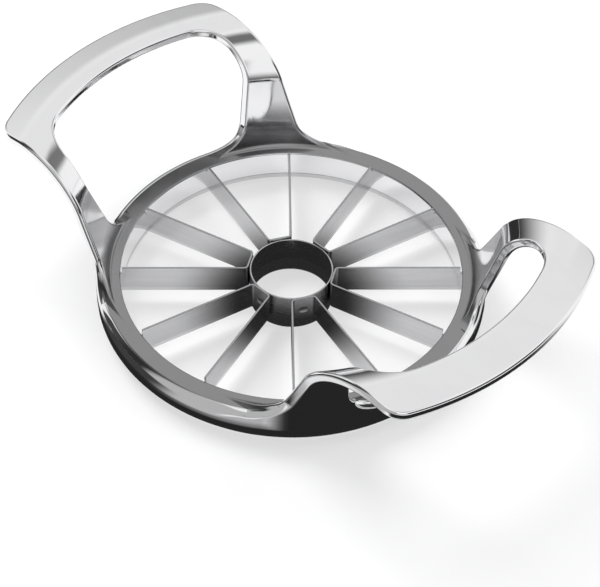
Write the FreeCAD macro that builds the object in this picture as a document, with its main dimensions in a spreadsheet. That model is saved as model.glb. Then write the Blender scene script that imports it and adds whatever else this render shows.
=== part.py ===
"""Apple slicer wedger: a cast ring with two loop handles, a corer tube and folded blade strips.

Millimetres and degrees. +Z is up, the ring stands on z = 0 and its axis is the Z axis. The two
handles reach out along +X and -X.
"""
import FreeCAD, Part
import math
import os
import Sketcher
from FreeCAD import Placement, Rotation, Vector

SIZES = {
    # ring, in section from the bore outwards
    "boreRadius": 51.0,
    "skirtThickness": 1.8,
    "channelWidth": 2.0,
    "rimThickness": 3.6,
    "ringHeight": 12.0,
    "flangeThickness": 2.4,
    "boreEdge": 0.4,
    "skirtLift": 3.6,
    "footWidth": 0.8,
    "footTaperHeight": 4.2,
    "footBlend": 8.0,
    # handles: a flared wall that bends over into a grip band
    "handleThickness": 3.0,
    "leanAngle": 18.9,
    "droopAngle": 9.0,
    "wallInset": 1.0,
    "rootBlend": 12.0,
    "bendRadius": 20.0,
    "handleProjection": 38.9,
    "tipHeight": 44.8,
    "handleWidth": 85.6,
    "flareRadius": 7.0,
    "cornerRadius": 7.7,
    "edgeRadius": 0.9,
    # hand openings
    "armWidth": 8.4,
    "armRootWidth": 15.9,
    "armTaperHeight": 24.0,
    "gripWidth": 13.5,
    "openingRootRadius": 12.0,
    "openingTipRadius": 12.5,
    "openingSideRun": 3.0,
    # blade strips
    "stripCount": 6,
    "bladeThickness": 0.6,
    "bladeHeight": 9.5,
    "bladeBend": 0.8,
    "bladeStep": 1.5,
    "slotCover": 0.9,
    "slotClearance": 0.1,
    "tabClearance": 0.6,
    "grindHeight": 1.4,
    "grindDepth": 0.22,
    # corer tube
    "corerRadius": 12.5,
    "corerWall": 0.5,
    "corerTop": 12.7,
    "corerLift": 0.1,
    "corerGrind": 1.0,
    "corerLand": 0.2,
    "weldClearance": 0.05,
    # retaining ring and its screws
    "bossWidth": 5.0,
    "retainerThickness": 1.5,
    "retainerClearance": 0.1,
    "screwRadius": 0.8,
    "screwHeadRadius": 1.5,
    "screwLength": 5.5,
    "screwClearance": 0.05,
    "pilotEnd": 0.5,
    "driveWidth": 0.9,
    "driveDepth": 0.5,
}

# Places that several pieces share, as expressions of the sheet's cells.
RIM_INNER = "(Sizes.boreRadius + Sizes.skirtThickness + Sizes.channelWidth)"
RIM_OUTER = f"({RIM_INNER} + Sizes.rimThickness)"
RING_TOP = "Sizes.ringHeight"
FLANGE_UNDERSIDE = "(Sizes.ringHeight - Sizes.flangeThickness)"
HANDLE_REACH = "(Sizes.boreRadius + Sizes.handleProjection)"
HALF_WIDTH = "(Sizes.handleWidth / 2)"
OPENING_SIDE = f"({HALF_WIDTH} - Sizes.armWidth)"
OPENING_REACH = f"({HANDLE_REACH} - Sizes.gripWidth)"
TIP_ACROSS = (
    f"sqrt(({OPENING_REACH} - Sizes.openingTipRadius) ^ 2"
    f" - ({OPENING_SIDE} - Sizes.openingTipRadius) ^ 2)"
)
OPENING_START = f"({TIP_ACROSS} - Sizes.openingSideRun)"
ABOVE_ALL = "(Sizes.tipHeight + Sizes.bendRadius)"
OUTSIDE_ALL = f"({HANDLE_REACH} + Sizes.bendRadius)"
STRIP_PITCH = "(360 / Sizes.stripCount)"
HALF_ANGLE = "(90 / Sizes.stripCount)"
SLOT_TOP = "(Sizes.ringHeight - Sizes.slotCover)"
TAB_TOP = f"({SLOT_TOP} - Sizes.slotClearance)"
TAB_END = f"({RIM_INNER} - Sizes.tabClearance)"
BLADE_TOP = "(Sizes.skirtLift + Sizes.bladeHeight)"
RETAINER_TOP = "(Sizes.skirtLift - Sizes.retainerClearance)"
RETAINER_BOTTOM = f"({RETAINER_TOP} - Sizes.retainerThickness)"
SCREW_CIRCLE = f"((Sizes.boreRadius + {RIM_INNER}) / 2)"
HEAD_DEPTH = "(Sizes.screwHeadRadius - Sizes.screwRadius)"

# Points closer than this are the same point, in mm.
CLOSE = 1e-3

doc = FreeCAD.newDocument("apple_slicer")
sheet = doc.addObject("Spreadsheet::Sheet", "Sizes")
for row, (alias, size) in enumerate(SIZES.items(), start=1):
    sheet.set(f"A{row}", str(size))
    sheet.setAlias(f"A{row}", alias)
doc.recompute()


def number(expression):
    """The present value of an expression of the sheet's cells."""
    return float(sheet.evalExpression(expression))


# ---------------------------------------------------------------- bodies and sketches

def new_body(name):
    body = doc.addObject("PartDesign::Body", name)
    body.Label = name
    body.AllowCompound = True
    return body


def origin_item(body, role):
    """One of the body's own origin planes or axes."""
    return next(item for item in body.Origin.OriginFeatures if item.Role == role)


def new_sketch(body, name, plane, height=None):
    """A sketch on an origin plane of its body, lifted along the plane's normal if asked."""
    sketch = body.newObject("Sketcher::SketchObject", name)
    sketch.AttachmentSupport = [(origin_item(body, plane), "")]
    sketch.MapMode = "FlatFace"
    if height:
        sketch.setExpression("AttachmentOffset.Base.z", height)
    return sketch


def bind(sketch, constraint, expression):
    """Add a constraint whose value follows the sheet."""
    index = sketch.addConstraint(constraint)
    sketch.setExpression(f"Constraints[{index}]", expression)


def pin_coordinate(sketch, kind, geometry, end, expression):
    """Hold one coordinate of a point, measured from the sketch's origin."""
    size = number(expression)
    if expression == "0":
        axis = -2 if kind == "DistanceX" else -1
        sketch.addConstraint(Sketcher.Constraint("PointOnObject", geometry, end, axis))
    elif size > 0:
        bind(sketch, Sketcher.Constraint(kind, -1, 1, geometry, end, size), expression)
    else:
        bind(sketch, Sketcher.Constraint(kind, geometry, end, -1, 1, -size), f"-{expression}")


def pin_point(sketch, geometry, end, across, up):
    pin_coordinate(sketch, "DistanceX", geometry, end, across)
    pin_coordinate(sketch, "DistanceY", geometry, end, up)


def draw_circle(sketch, across, up, radius):
    centre = Vector(number(across), number(up), 0)
    circle = sketch.addGeometry(Part.Circle(centre, Vector(0, 0, 1), number(radius)))
    bind(sketch, Sketcher.Constraint("Radius", circle, number(radius)), radius)
    pin_point(sketch, circle, 3, across, up)


def draw_arc(sketch, centre, radius, first, last):
    """A counter-clockwise arc between two angles, in radians."""
    circle = Part.Circle(centre, Vector(0, 0, 1), radius)
    return sketch.addGeometry(Part.ArcOfCircle(circle, first, last))


def bearing(vector):
    return math.atan2(vector.y, vector.x)


def turned(points, angle):
    """Corners at (along, aside) of a direction at an angle from the across axis, unrounded."""
    return [
        (f"({along} * cos({angle}) - ({aside}) * sin({angle}))",
         f"({along} * sin({angle}) + ({aside}) * cos({angle}))", None)
        for along, aside in points
    ]


def draw_outline(sketch, corners):
    """A closed run of straight lines through corners (across, up, rounding), all expressions.

    A corner with a rounding gets an arc tangent to both of its lines, whose crossing point stays
    on the corner.
    """
    points = [Vector(number(across), number(up), 0) for across, up, _ in corners]
    following = points[1:] + points[:1]
    ways = [(after - here).normalize() for here, after in zip(points, following)]
    ends = []
    for index, (_, _, rounding) in enumerate(corners):
        back = -ways[index - 1]
        ahead = ways[index]
        run = number(rounding) / math.tan(back.getAngle(ahead) / 2) if rounding else 0
        ends.append((points[index] + back * run, points[index] + ahead * run))
    lines = [
        sketch.addGeometry(Part.LineSegment(start[1], end[0]))
        for start, end in zip(ends, ends[1:] + ends[:1])
    ]
    for index, (across, up, rounding) in enumerate(corners):
        before = lines[index - 1]
        after = lines[index]
        if not rounding:
            sketch.addConstraint(Sketcher.Constraint("Coincident", before, 2, after, 1))
            pin_point(sketch, after, 1, across, up)
            continue
        entry, leave = ends[index]
        size = number(rounding)
        back = -ways[index - 1]
        ahead = ways[index]
        middle = (back + ahead).normalize()
        centre = points[index] + middle * (size / math.sin(back.getAngle(ahead) / 2))
        turns_left = back.cross(ahead).z < 0
        first, last = (entry, leave) if turns_left else (leave, entry)
        arc = draw_arc(sketch, centre, size, bearing(first - centre), bearing(last - centre))
        entry_end, leave_end = (1, 2) if turns_left else (2, 1)
        sketch.addConstraint(Sketcher.Constraint("Tangent", before, 2, arc, entry_end))
        sketch.addConstraint(Sketcher.Constraint("Tangent", after, 1, arc, leave_end))
        bind(sketch, Sketcher.Constraint("Radius", arc, size), rounding)
        corner = sketch.addGeometry(Part.Point(points[index]), True)
        pin_point(sketch, corner, 1, across, up)
        sketch.addConstraint(Sketcher.Constraint("PointOnObject", corner, 1, before))
        sketch.addConstraint(Sketcher.Constraint("PointOnObject", corner, 1, after))


# ---------------------------------------------------------------- features

def lathe(body, name, sketch, axis="V_Axis", kind="Revolution"):
    """Turn a section all the way round, as a solid or, with kind Groove, as a cut."""
    feature = body.newObject(f"PartDesign::{kind}", name)
    feature.Profile = sketch
    feature.ReferenceAxis = (sketch, [axis])
    feature.Angle = 360
    return feature


def pad(body, name, sketch, length):
    feature = body.newObject("PartDesign::Pad", name)
    feature.Profile = sketch
    feature.setExpression("Length", length)
    return feature


def pocket(body, name, sketch, length, reverse=False):
    """Cut along the sketch's back side, or along its normal if reversed."""
    feature = body.newObject("PartDesign::Pocket", name)
    feature.Profile = sketch
    feature.Reversed = reverse
    feature.setExpression("Length", length)
    return feature


def polar(body, name, features, count):
    """Repeat features evenly round the Z axis."""
    pattern = body.newObject("PartDesign::PolarPattern", name)
    pattern.Originals = features
    pattern.Axis = (origin_item(body, "Z_Axis"), [""])
    pattern.Angle = 360
    pattern.setExpression("Occurrences", count)
    body.Tip = pattern
    return pattern


def mirrored(body, name, features, plane):
    mirror = body.newObject("PartDesign::Mirrored", name)
    mirror.Originals = features
    mirror.MirrorPlane = (origin_item(body, plane), [""])
    body.Tip = mirror
    return mirror


def fillet(body, name, base, edges, radius):
    feature = body.newObject("PartDesign::Fillet", name)
    feature.Base = (base, edges)
    feature.setExpression("Radius", radius)
    return feature


def edges_of(feature, wanted):
    """Names of the feature's edges for which wanted(edge) is true."""
    return [
        f"Edge{index}"
        for index, edge in enumerate(feature.Shape.Edges, start=1)
        if wanted(edge)
    ]


def check_cut(before, feature):
    """Stop if a cut took nothing away."""
    doc.recompute()
    if feature.Shape.Volume > before - CLOSE:
        raise RuntimeError(f"{feature.Name} cuts nothing")


# ---------------------------------------------------------------- frame: ring and handles

def ring_section(body):
    """Half section of the ring: flange on top, skirt, channel open below, tapered rim."""
    sketch = new_sketch(body, "ring_section", "XZ_Plane")
    skirt_outer = "(Sizes.boreRadius + Sizes.skirtThickness)"
    foot_outer = f"({RIM_INNER} + Sizes.footWidth)"
    draw_outline(sketch, [
        ("Sizes.boreRadius", "Sizes.skirtLift", None),
        (skirt_outer, "Sizes.skirtLift", None),
        (skirt_outer, FLANGE_UNDERSIDE, None),
        (RIM_INNER, FLANGE_UNDERSIDE, None),
        (RIM_INNER, "0", None),
        (foot_outer, "0", None),
        (RIM_OUTER, "Sizes.footTaperHeight", "Sizes.footBlend"),
        (RIM_OUTER, RING_TOP, None),
        ("Sizes.boreRadius", RING_TOP, "Sizes.boreEdge"),
    ])
    return sketch


def handle_section(body):
    """Half section of the flared wall and grip band that both handles are cut from.

    Each face of the sheet is a straight lean, a bend and a straight droop. The two faces are
    parallel, one thickness apart.
    """
    sketch = new_sketch(body, "handle_section", "XZ_Plane")
    lean = "tan(Sizes.leanAngle)"
    droop = "tan(Sizes.droopAngle)"
    outer_foot = f"({RIM_OUTER} - Sizes.wallInset)"
    inner_foot = f"({outer_foot} - Sizes.handleThickness / cos(Sizes.leanAngle))"
    under_tip = "(Sizes.tipHeight - Sizes.handleThickness / cos(Sizes.droopAngle))"

    def bend(foot, tip):
        rise = f"({tip} + ({HANDLE_REACH} - {foot} + {RING_TOP} * {lean}) * {droop})"
        up = f"({rise} / (1 + {lean} * {droop}))"
        across = f"({foot} + ({up} - {RING_TOP}) * {lean})"
        return across, up

    root_up = f"({RING_TOP} + Sizes.wallInset / {lean})"
    draw_outline(sketch, [
        (inner_foot, RING_TOP, None),
        (RIM_OUTER, RING_TOP, None),
        (RIM_OUTER, root_up, "Sizes.rootBlend"),
        (*bend(outer_foot, under_tip), "(Sizes.bendRadius - Sizes.handleThickness)"),
        (HANDLE_REACH, under_tip, None),
        (HANDLE_REACH, "Sizes.tipHeight", None),
        (*bend(inner_foot, "Sizes.tipHeight"), "Sizes.bendRadius"),
    ])
    return sketch


def side_trim(body):
    """What is cut away beside the handles: all above the ring past the handles' flat sides."""
    sketch = new_sketch(body, "side_trim", "YZ_Plane")
    for sign in ("", "-"):
        draw_outline(sketch, [
            (f"{sign}{HALF_WIDTH}", RING_TOP, "Sizes.flareRadius"),
            (f"{sign}{OUTSIDE_ALL}", RING_TOP, None),
            (f"{sign}{OUTSIDE_ALL}", ABOVE_ALL, None),
            (f"{sign}{HALF_WIDTH}", ABOVE_ALL, None),
        ])
    return sketch


def opening_root(body):
    """Lower part of the +X hand opening, seen along the X axis: it narrows towards the ring."""
    sketch = new_sketch(body, "opening_root", "YZ_Plane", OPENING_START)
    foot = f"({HALF_WIDTH} - Sizes.armRootWidth)"
    shoulder = f"({RING_TOP} + Sizes.armTaperHeight)"
    draw_outline(sketch, [
        (f"-{foot}", RING_TOP, "Sizes.openingRootRadius"),
        (foot, RING_TOP, "Sizes.openingRootRadius"),
        (OPENING_SIDE, shoulder, None),
        (OPENING_SIDE, ABOVE_ALL, None),
        (f"-{OPENING_SIDE}", ABOVE_ALL, None),
        (f"-{OPENING_SIDE}", shoulder, None),
    ])
    return sketch


def opening_top(body):
    """Upper part of the +X hand opening, seen from above.

    Two straight sides run into rounded corners and an outer edge drawn round the ring's axis.
    """
    sketch = new_sketch(body, "opening_top", "XY_Plane", ABOVE_ALL)
    start = number(OPENING_START)
    side = number(OPENING_SIDE)
    reach = number(OPENING_REACH)
    tip = number("Sizes.openingTipRadius")
    high_centre = Vector(number(TIP_ACROSS), side - tip, 0)
    low_centre = Vector(high_centre.x, -high_centre.y, 0)
    swing = bearing(high_centre)
    right_angle = math.pi / 2

    start_line = sketch.addGeometry(Part.LineSegment(Vector(start, side, 0), Vector(start, -side, 0)))
    low_side = sketch.addGeometry(
        Part.LineSegment(Vector(start, -side, 0), Vector(low_centre.x, -side, 0)))
    low_tip = draw_arc(sketch, low_centre, tip, -right_angle, -swing)
    far_edge = draw_arc(sketch, Vector(0, 0, 0), reach, -swing, swing)
    high_tip = draw_arc(sketch, high_centre, tip, swing, right_angle)
    high_side = sketch.addGeometry(
        Part.LineSegment(Vector(high_centre.x, side, 0), Vector(start, side, 0)))

    rounded = [low_side, low_tip, far_edge, high_tip, high_side]
    for before, after in zip(rounded, rounded[1:]):
        sketch.addConstraint(Sketcher.Constraint("Tangent", before, 2, after, 1))
    sketch.addConstraint(Sketcher.Constraint("Coincident", start_line, 1, high_side, 2))
    sketch.addConstraint(Sketcher.Constraint("Coincident", start_line, 2, low_side, 1))
    sketch.addConstraint(Sketcher.Constraint("Horizontal", low_side))
    sketch.addConstraint(Sketcher.Constraint("Horizontal", high_side))
    sketch.addConstraint(Sketcher.Constraint("Coincident", far_edge, 3, -1, 1))
    bind(sketch, Sketcher.Constraint("Radius", far_edge, reach), OPENING_REACH)
    for arc in (low_tip, high_tip):
        bind(sketch, Sketcher.Constraint("Radius", arc, tip), "Sizes.openingTipRadius")
    pin_point(sketch, start_line, 1, OPENING_START, OPENING_SIDE)
    pin_point(sketch, start_line, 2, OPENING_START, f"-{OPENING_SIDE}")
    return sketch


def make_frame():
    body = new_body("frame")
    lathe(body, "ring", ring_section(body))
    bowl = lathe(body, "handle_wall", handle_section(body))
    doc.recompute()

    trim = body.newObject("PartDesign::Pocket", "handle_sides")
    trim.Profile = side_trim(body)
    trim.Type = "ThroughAll"
    trim.SideType = "Symmetric"
    check_cut(bowl.Shape.Volume, trim)

    root = pocket(body, "hand_opening_root", opening_root(body), OPENING_START)
    check_cut(trim.Shape.Volume, root)
    upper = pocket(body, "hand_opening_top", opening_top(body), f"{ABOVE_ALL} - {RING_TOP}")
    check_cut(root.Shape.Volume, upper)
    both = mirrored(body, "hand_openings", [root, upper], "YZ_Plane")
    doc.recompute()

    reach = number(HANDLE_REACH)
    half = number(HALF_WIDTH)
    rim = number(RIM_OUTER)
    top = number(RING_TOP)

    def is_corner(edge):
        ends = [vertex.Point for vertex in edge.Vertexes]
        near = [abs(math.hypot(p.x, p.y) - reach) + abs(abs(p.y) - half) < CLOSE for p in ends]
        return len(ends) == 2 and all(near) and abs(ends[0].z - ends[1].z) > CLOSE

    def is_rim_edge(edge):
        ends = [vertex.Point for vertex in edge.Vertexes]
        on_rim = [abs(math.hypot(p.x, p.y) - rim) + abs(p.z - top) < CLOSE for p in ends]
        return all(on_rim) and abs(edge.CenterOfMass.x) < CLOSE

    corners = fillet(body, "handle_corners", both, edges_of(both, is_corner),
                     "Sizes.cornerRadius")
    doc.recompute()
    fillet(body, "rim_edge", corners, edges_of(corners, is_rim_edge), "Sizes.edgeRadius")
    doc.recompute()

    boss_plan = new_sketch(body, "boss_plan", "XY_Plane", "Sizes.skirtLift")
    boss_start = "(Sizes.boreRadius + Sizes.skirtThickness / 2)"
    boss_end = f"({RIM_INNER} + Sizes.rimThickness / 2)"
    draw_outline(boss_plan, [
        (boss_start, "-(Sizes.bossWidth / 2)", None),
        (boss_end, "-(Sizes.bossWidth / 2)", None),
        (boss_end, "(Sizes.bossWidth / 2)", None),
        (boss_start, "(Sizes.bossWidth / 2)", None),
    ])
    boss = pad(body, "screw_boss", boss_plan, f"{FLANGE_UNDERSIDE} - Sizes.skirtLift")
    bosses = polar(body, "screw_bosses", [boss], "Sizes.stripCount")
    doc.recompute()

    pilot_plan = new_sketch(body, "pilot_plan", "XY_Plane", "Sizes.skirtLift")
    draw_circle(pilot_plan, SCREW_CIRCLE, "0", "(Sizes.screwRadius + Sizes.screwClearance)")
    pilot_depth = f"{RETAINER_BOTTOM} + Sizes.screwLength + Sizes.pilotEnd - Sizes.skirtLift"
    pilot = pocket(body, "pilot_hole", pilot_plan, pilot_depth, reverse=True)
    check_cut(bosses.Shape.Volume, pilot)
    pilots = polar(body, "pilot_holes", [pilot], "Sizes.stripCount")
    doc.recompute()

    slot_plan = new_sketch(body, "slot_plan", "XY_Plane")
    half_slot = "(Sizes.bladeThickness / 2 + Sizes.slotClearance)"
    slot_start = "(Sizes.boreRadius - Sizes.bladeStep)"
    slot_end = f"({TAB_END} + Sizes.slotClearance)"
    draw_outline(slot_plan, turned([
        (slot_start, f"-{half_slot}"),
        (slot_end, f"-{half_slot}"),
        (slot_end, half_slot),
        (slot_start, half_slot),
    ], HALF_ANGLE))
    slot = pocket(body, "blade_slot", slot_plan, SLOT_TOP, reverse=True)
    check_cut(pilots.Shape.Volume, slot)
    polar(body, "blade_slots", [slot], "2 * Sizes.stripCount")
    return body


# ---------------------------------------------------------------- blades and corer

def make_blade_strip(index):
    """Two blades joined by a flat facet, folded from one strip.

    The strip is drawn with its facet square to the X axis and then turned to its place. Its
    outer ends are tabs, lower than the blades, that sit in the ring's slots.
    """
    body = new_body(f"blade_strip_{index + 1}")
    plan = new_sketch(body, f"strip_plan_{index + 1}", "XY_Plane", "Sizes.skirtLift")
    half = "(Sizes.bladeThickness / 2)"
    near = "(Sizes.corerRadius + Sizes.weldClearance)"
    far = f"({near} + Sizes.bladeThickness)"
    near_side = f"({near} * tan({HALF_ANGLE}) + {half} / cos({HALF_ANGLE}))"
    far_side = f"({far} * tan({HALF_ANGLE}) - {half} / cos({HALF_ANGLE}))"
    outer_end, inner_end = turned([(TAB_END, half), (TAB_END, f"-{half}")], HALF_ANGLE)
    outer_bend = "(Sizes.bladeBend + Sizes.bladeThickness)"
    draw_outline(plan, [
        (near, f"-{near_side}", outer_bend),
        (outer_end[0], f"-{outer_end[1]}", None),
        (inner_end[0], f"-{inner_end[1]}", None),
        (far, f"-{far_side}", "Sizes.bladeBend"),
        (far, far_side, "Sizes.bladeBend"),
        inner_end,
        outer_end,
        (near, near_side, outer_bend),
    ])
    strip = pad(body, f"strip_{index + 1}", plan, "Sizes.bladeHeight")
    doc.recompute()

    step_plan = new_sketch(body, f"step_plan_{index + 1}", "XY_Plane", BLADE_TOP)
    draw_circle(step_plan, "0", "0", "(Sizes.boreRadius - Sizes.bladeStep)")
    draw_circle(step_plan, "0", "0", RIM_OUTER)
    step = pocket(body, f"tab_step_{index + 1}", step_plan, f"{BLADE_TOP} - {TAB_TOP}")
    check_cut(strip.Shape.Volume, step)

    def is_lower_side(edge):
        """A long lower edge of the blade at -Y: from it, the grinding runs on round the bends."""
        low = abs(edge.BoundBox.ZMax - number("Sizes.skirtLift")) < CLOSE
        return low and edge.Length > number("Sizes.corerRadius") and edge.CenterOfMass.y < 0

    grind = body.newObject("PartDesign::Chamfer", f"ground_edge_{index + 1}")
    grind.Base = (step, edges_of(step, is_lower_side))
    grind.ChamferType = "Two distances"
    grind.setExpression("Size", "Sizes.grindDepth")
    grind.setExpression("Size2", "Sizes.grindHeight")
    check_cut(step.Shape.Volume, grind)

    body.Placement = Placement(Vector(0, 0, 0), Rotation(Vector(0, 0, 1), 1))
    body.setExpression("Placement.Rotation.Angle", f"({index} + 1 / 2) * {STRIP_PITCH}")
    return body


def make_corer_tube():
    """Thin tube with its lower edge ground from outside."""
    body = new_body("corer_tube")
    section = new_sketch(body, "corer_section", "XZ_Plane")
    inner = "(Sizes.corerRadius - Sizes.corerWall)"
    draw_outline(section, [
        (inner, "Sizes.corerLift", None),
        (f"({inner} + Sizes.corerLand)", "Sizes.corerLift", None),
        ("Sizes.corerRadius", "(Sizes.corerLift + Sizes.corerGrind)", None),
        ("Sizes.corerRadius", "Sizes.corerTop", None),
        (inner, "Sizes.corerTop", None),
    ])
    lathe(body, "corer", section)
    return body


# ---------------------------------------------------------------- retaining ring and screws

def screw_axis(sketch):
    """A construction line up the axis of the first screw; it must be drawn before the rest."""
    across = number(SCREW_CIRCLE)
    line = sketch.addGeometry(Part.LineSegment(Vector(across, 0, 0), Vector(across, 1, 0)), True)
    pin_point(sketch, line, 1, SCREW_CIRCLE, "0")
    pin_point(sketch, line, 2, SCREW_CIRCLE, "Sizes.screwLength")


def make_retaining_ring():
    """Flat ring under the skirt that carries the blade tabs."""
    body = new_body("retaining_ring")
    plan = new_sketch(body, "retainer_plan", "XY_Plane", RETAINER_BOTTOM)
    draw_circle(plan, "0", "0", "(Sizes.boreRadius + Sizes.retainerClearance)")
    draw_circle(plan, "0", "0", f"({RIM_INNER} - Sizes.retainerClearance)")
    ring = pad(body, "retainer", plan, "Sizes.retainerThickness")
    doc.recompute()

    section = new_sketch(body, "countersink_section", "XZ_Plane")
    screw_axis(section)
    shank = f"({SCREW_CIRCLE} + Sizes.screwRadius + Sizes.screwClearance)"
    head = f"({SCREW_CIRCLE} + Sizes.screwHeadRadius + Sizes.screwClearance)"
    draw_outline(section, [
        (SCREW_CIRCLE, RETAINER_BOTTOM, None),
        (head, RETAINER_BOTTOM, None),
        (shank, f"({RETAINER_BOTTOM} + {HEAD_DEPTH})", None),
        (shank, "Sizes.skirtLift", None),
        (SCREW_CIRCLE, "Sizes.skirtLift", None),
    ])
    countersink = lathe(body, "countersink", section, "Axis0", "Groove")
    check_cut(ring.Shape.Volume, countersink)
    polar(body, "countersinks", [countersink], "Sizes.stripCount")
    return body


def make_retaining_screws():
    """Countersunk screws, flush with the retaining ring's underside, with hex sockets."""
    body = new_body("retaining_screws")
    section = new_sketch(body, "screw_section", "XZ_Plane")
    screw_axis(section)
    shank = f"({SCREW_CIRCLE} + Sizes.screwRadius)"
    tip = f"({RETAINER_BOTTOM} + Sizes.screwLength)"
    draw_outline(section, [
        (SCREW_CIRCLE, RETAINER_BOTTOM, None),
        (f"({SCREW_CIRCLE} + Sizes.screwHeadRadius)", RETAINER_BOTTOM, None),
        (shank, f"({RETAINER_BOTTOM} + {HEAD_DEPTH})", None),
        (shank, tip, None),
        (SCREW_CIRCLE, tip, None),
    ])
    screw = lathe(body, "screw", section, "Axis0")
    doc.recompute()

    drive_plan = new_sketch(body, "drive_plan", "XY_Plane", RETAINER_BOTTOM)
    corner = "(Sizes.driveWidth / sqrt(3))"
    draw_outline(drive_plan, [
        (f"({SCREW_CIRCLE} + {corner} * cos({step * 60}))", f"({corner} * sin({step * 60}))", None)
        for step in range(6)
    ])
    drive = pocket(body, "drive_socket", drive_plan, "Sizes.driveDepth", reverse=True)
    check_cut(screw.Shape.Volume, drive)
    polar(body, "screws", [screw, drive], "Sizes.stripCount")
    return body


# ---------------------------------------------------------------- build, check and write

pieces = [make_frame(), make_corer_tube(), make_retaining_ring(), make_retaining_screws()]
pieces += [make_blade_strip(index) for index in range(int(number("Sizes.stripCount")))]
doc.recompute()

for item in doc.Objects:
    if {"Invalid", "Error"} & set(item.State):
        raise RuntimeError(f"{item.Name} did not build: {item.State}")
for piece in pieces:
    if piece.Shape.isNull() or not piece.Shape.isValid():
        raise RuntimeError(f"{piece.Label} has no valid shape")

os.makedirs("parts", exist_ok=True)
for piece in pieces:
    piece.Shape.exportStep(f"parts/{piece.Label}.step")
    print(piece.Label, len(piece.Shape.Solids), round(piece.Shape.Volume, 1), piece.Shape.BoundBox)
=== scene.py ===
"""Apple slicer wedger: a polished casting with two loop handles, folded blade strips, corer tube."""

import bmesh
import bpy
import numpy as np
from mathutils import Matrix, Vector


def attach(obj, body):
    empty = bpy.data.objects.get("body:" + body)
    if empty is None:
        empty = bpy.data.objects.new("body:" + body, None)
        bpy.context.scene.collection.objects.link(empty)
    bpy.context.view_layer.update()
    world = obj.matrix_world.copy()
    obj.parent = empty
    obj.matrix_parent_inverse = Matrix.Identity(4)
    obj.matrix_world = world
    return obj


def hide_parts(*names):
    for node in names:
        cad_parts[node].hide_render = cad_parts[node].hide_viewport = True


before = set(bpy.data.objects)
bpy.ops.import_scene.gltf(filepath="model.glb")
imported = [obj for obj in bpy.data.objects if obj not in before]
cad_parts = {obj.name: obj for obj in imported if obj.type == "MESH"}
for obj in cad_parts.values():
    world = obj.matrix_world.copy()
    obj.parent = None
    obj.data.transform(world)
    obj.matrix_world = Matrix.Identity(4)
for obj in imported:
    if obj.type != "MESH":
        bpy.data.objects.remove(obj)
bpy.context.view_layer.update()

MM = 0.001
scene = bpy.context.scene
scene.view_settings.view_transform = "Standard"


# ---------------------------------------------------------------- paths and grids

def unit(vectors):
    """Vectors of length one, along the last axis."""
    return vectors / np.linalg.norm(vectors, axis=-1, keepdims=True)


def dot(a, b):
    return (a * b).sum(axis=-1, keepdims=True)


def rounded_path(corners, closed=False, step=0.09, guard=0.15):
    """Straight runs through corners (across, up, rounding), with an arc tangent to both runs.

    The arc's centre lies on the corner's bisector, at rounding / sin(half the corner's angle). A
    guard point on each run, just past an arc, keeps the run's shading flat.
    """
    corners = np.array(corners, float)
    points = corners[:, :2]
    pieces = []
    for index, rounding in enumerate(corners[:, 2]):
        here = points[index]
        if rounding == 0:
            pieces.append([here])
            continue
        back = unit(points[index - 1] - here)
        ahead = unit(points[(index + 1) % len(points)] - here)
        half = np.arccos(np.clip(back @ ahead, -1, 1)) / 2
        reach = rounding / np.tan(half)
        centre = here + unit(back + ahead) * rounding / np.sin(half)
        first = here + back * reach - centre
        last = here + ahead * reach - centre
        start = np.arctan2(first[1], first[0])
        swing = (np.arctan2(last[1], last[0]) - start + np.pi) % (2 * np.pi) - np.pi
        count = max(4, int(abs(swing) / step))
        angles = start + np.linspace(0, swing, count + 1)
        arc = centre + rounding * np.stack([np.cos(angles), np.sin(angles)], 1)
        pieces.append([here + back * (reach + guard)])
        pieces.append(arc)
        pieces.append([here + ahead * (reach + guard)])
    path = np.concatenate(pieces)
    return np.concatenate([path, path[:1]]) if closed else path


def sampled(corners, side, spacing=0.04):
    """A rounded path as rows: run along it, across, up, and its normal's across and up.

    The normal is the path's direction turned a quarter left, times side.
    """
    points = rounded_path(corners, step=0.01, guard=0.01)
    lengths = np.concatenate([[0], np.cumsum(np.linalg.norm(np.diff(points, axis=0), axis=1))])
    run = np.linspace(0, lengths[-1], int(lengths[-1] / spacing) + 1)
    across = np.interp(run, lengths, points[:, 0])
    up = np.interp(run, lengths, points[:, 1])
    way = unit(np.stack([np.gradient(across), np.gradient(up)], 1))
    return np.stack([run, across, up, -side * way[:, 1], side * way[:, 0]])


RUN, ACROSS, UP = 0, 1, 2
SAME_POINT = 1e-7


def look_up(path, row, values):
    """All rows of a sampled path where one of its rows has these values."""
    return np.stack([np.interp(values, path[row], other) for other in path])


def grid_faces(rows, columns, wrap_rows=False, wrap_columns=False):
    """Corners of the quads of a grid of points numbered row by row, turned to face outwards."""
    down = np.arange(rows if wrap_rows else rows - 1)[:, None]
    right = np.arange(columns if wrap_columns else columns - 1)[None, :]
    below = (down + 1) % rows
    beside = (right + 1) % columns
    corners = [down * columns + right, below * columns + right,
               below * columns + beside, down * columns + beside]
    return np.stack(np.broadcast_arrays(*corners), -1).reshape(-1, 4)


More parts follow.
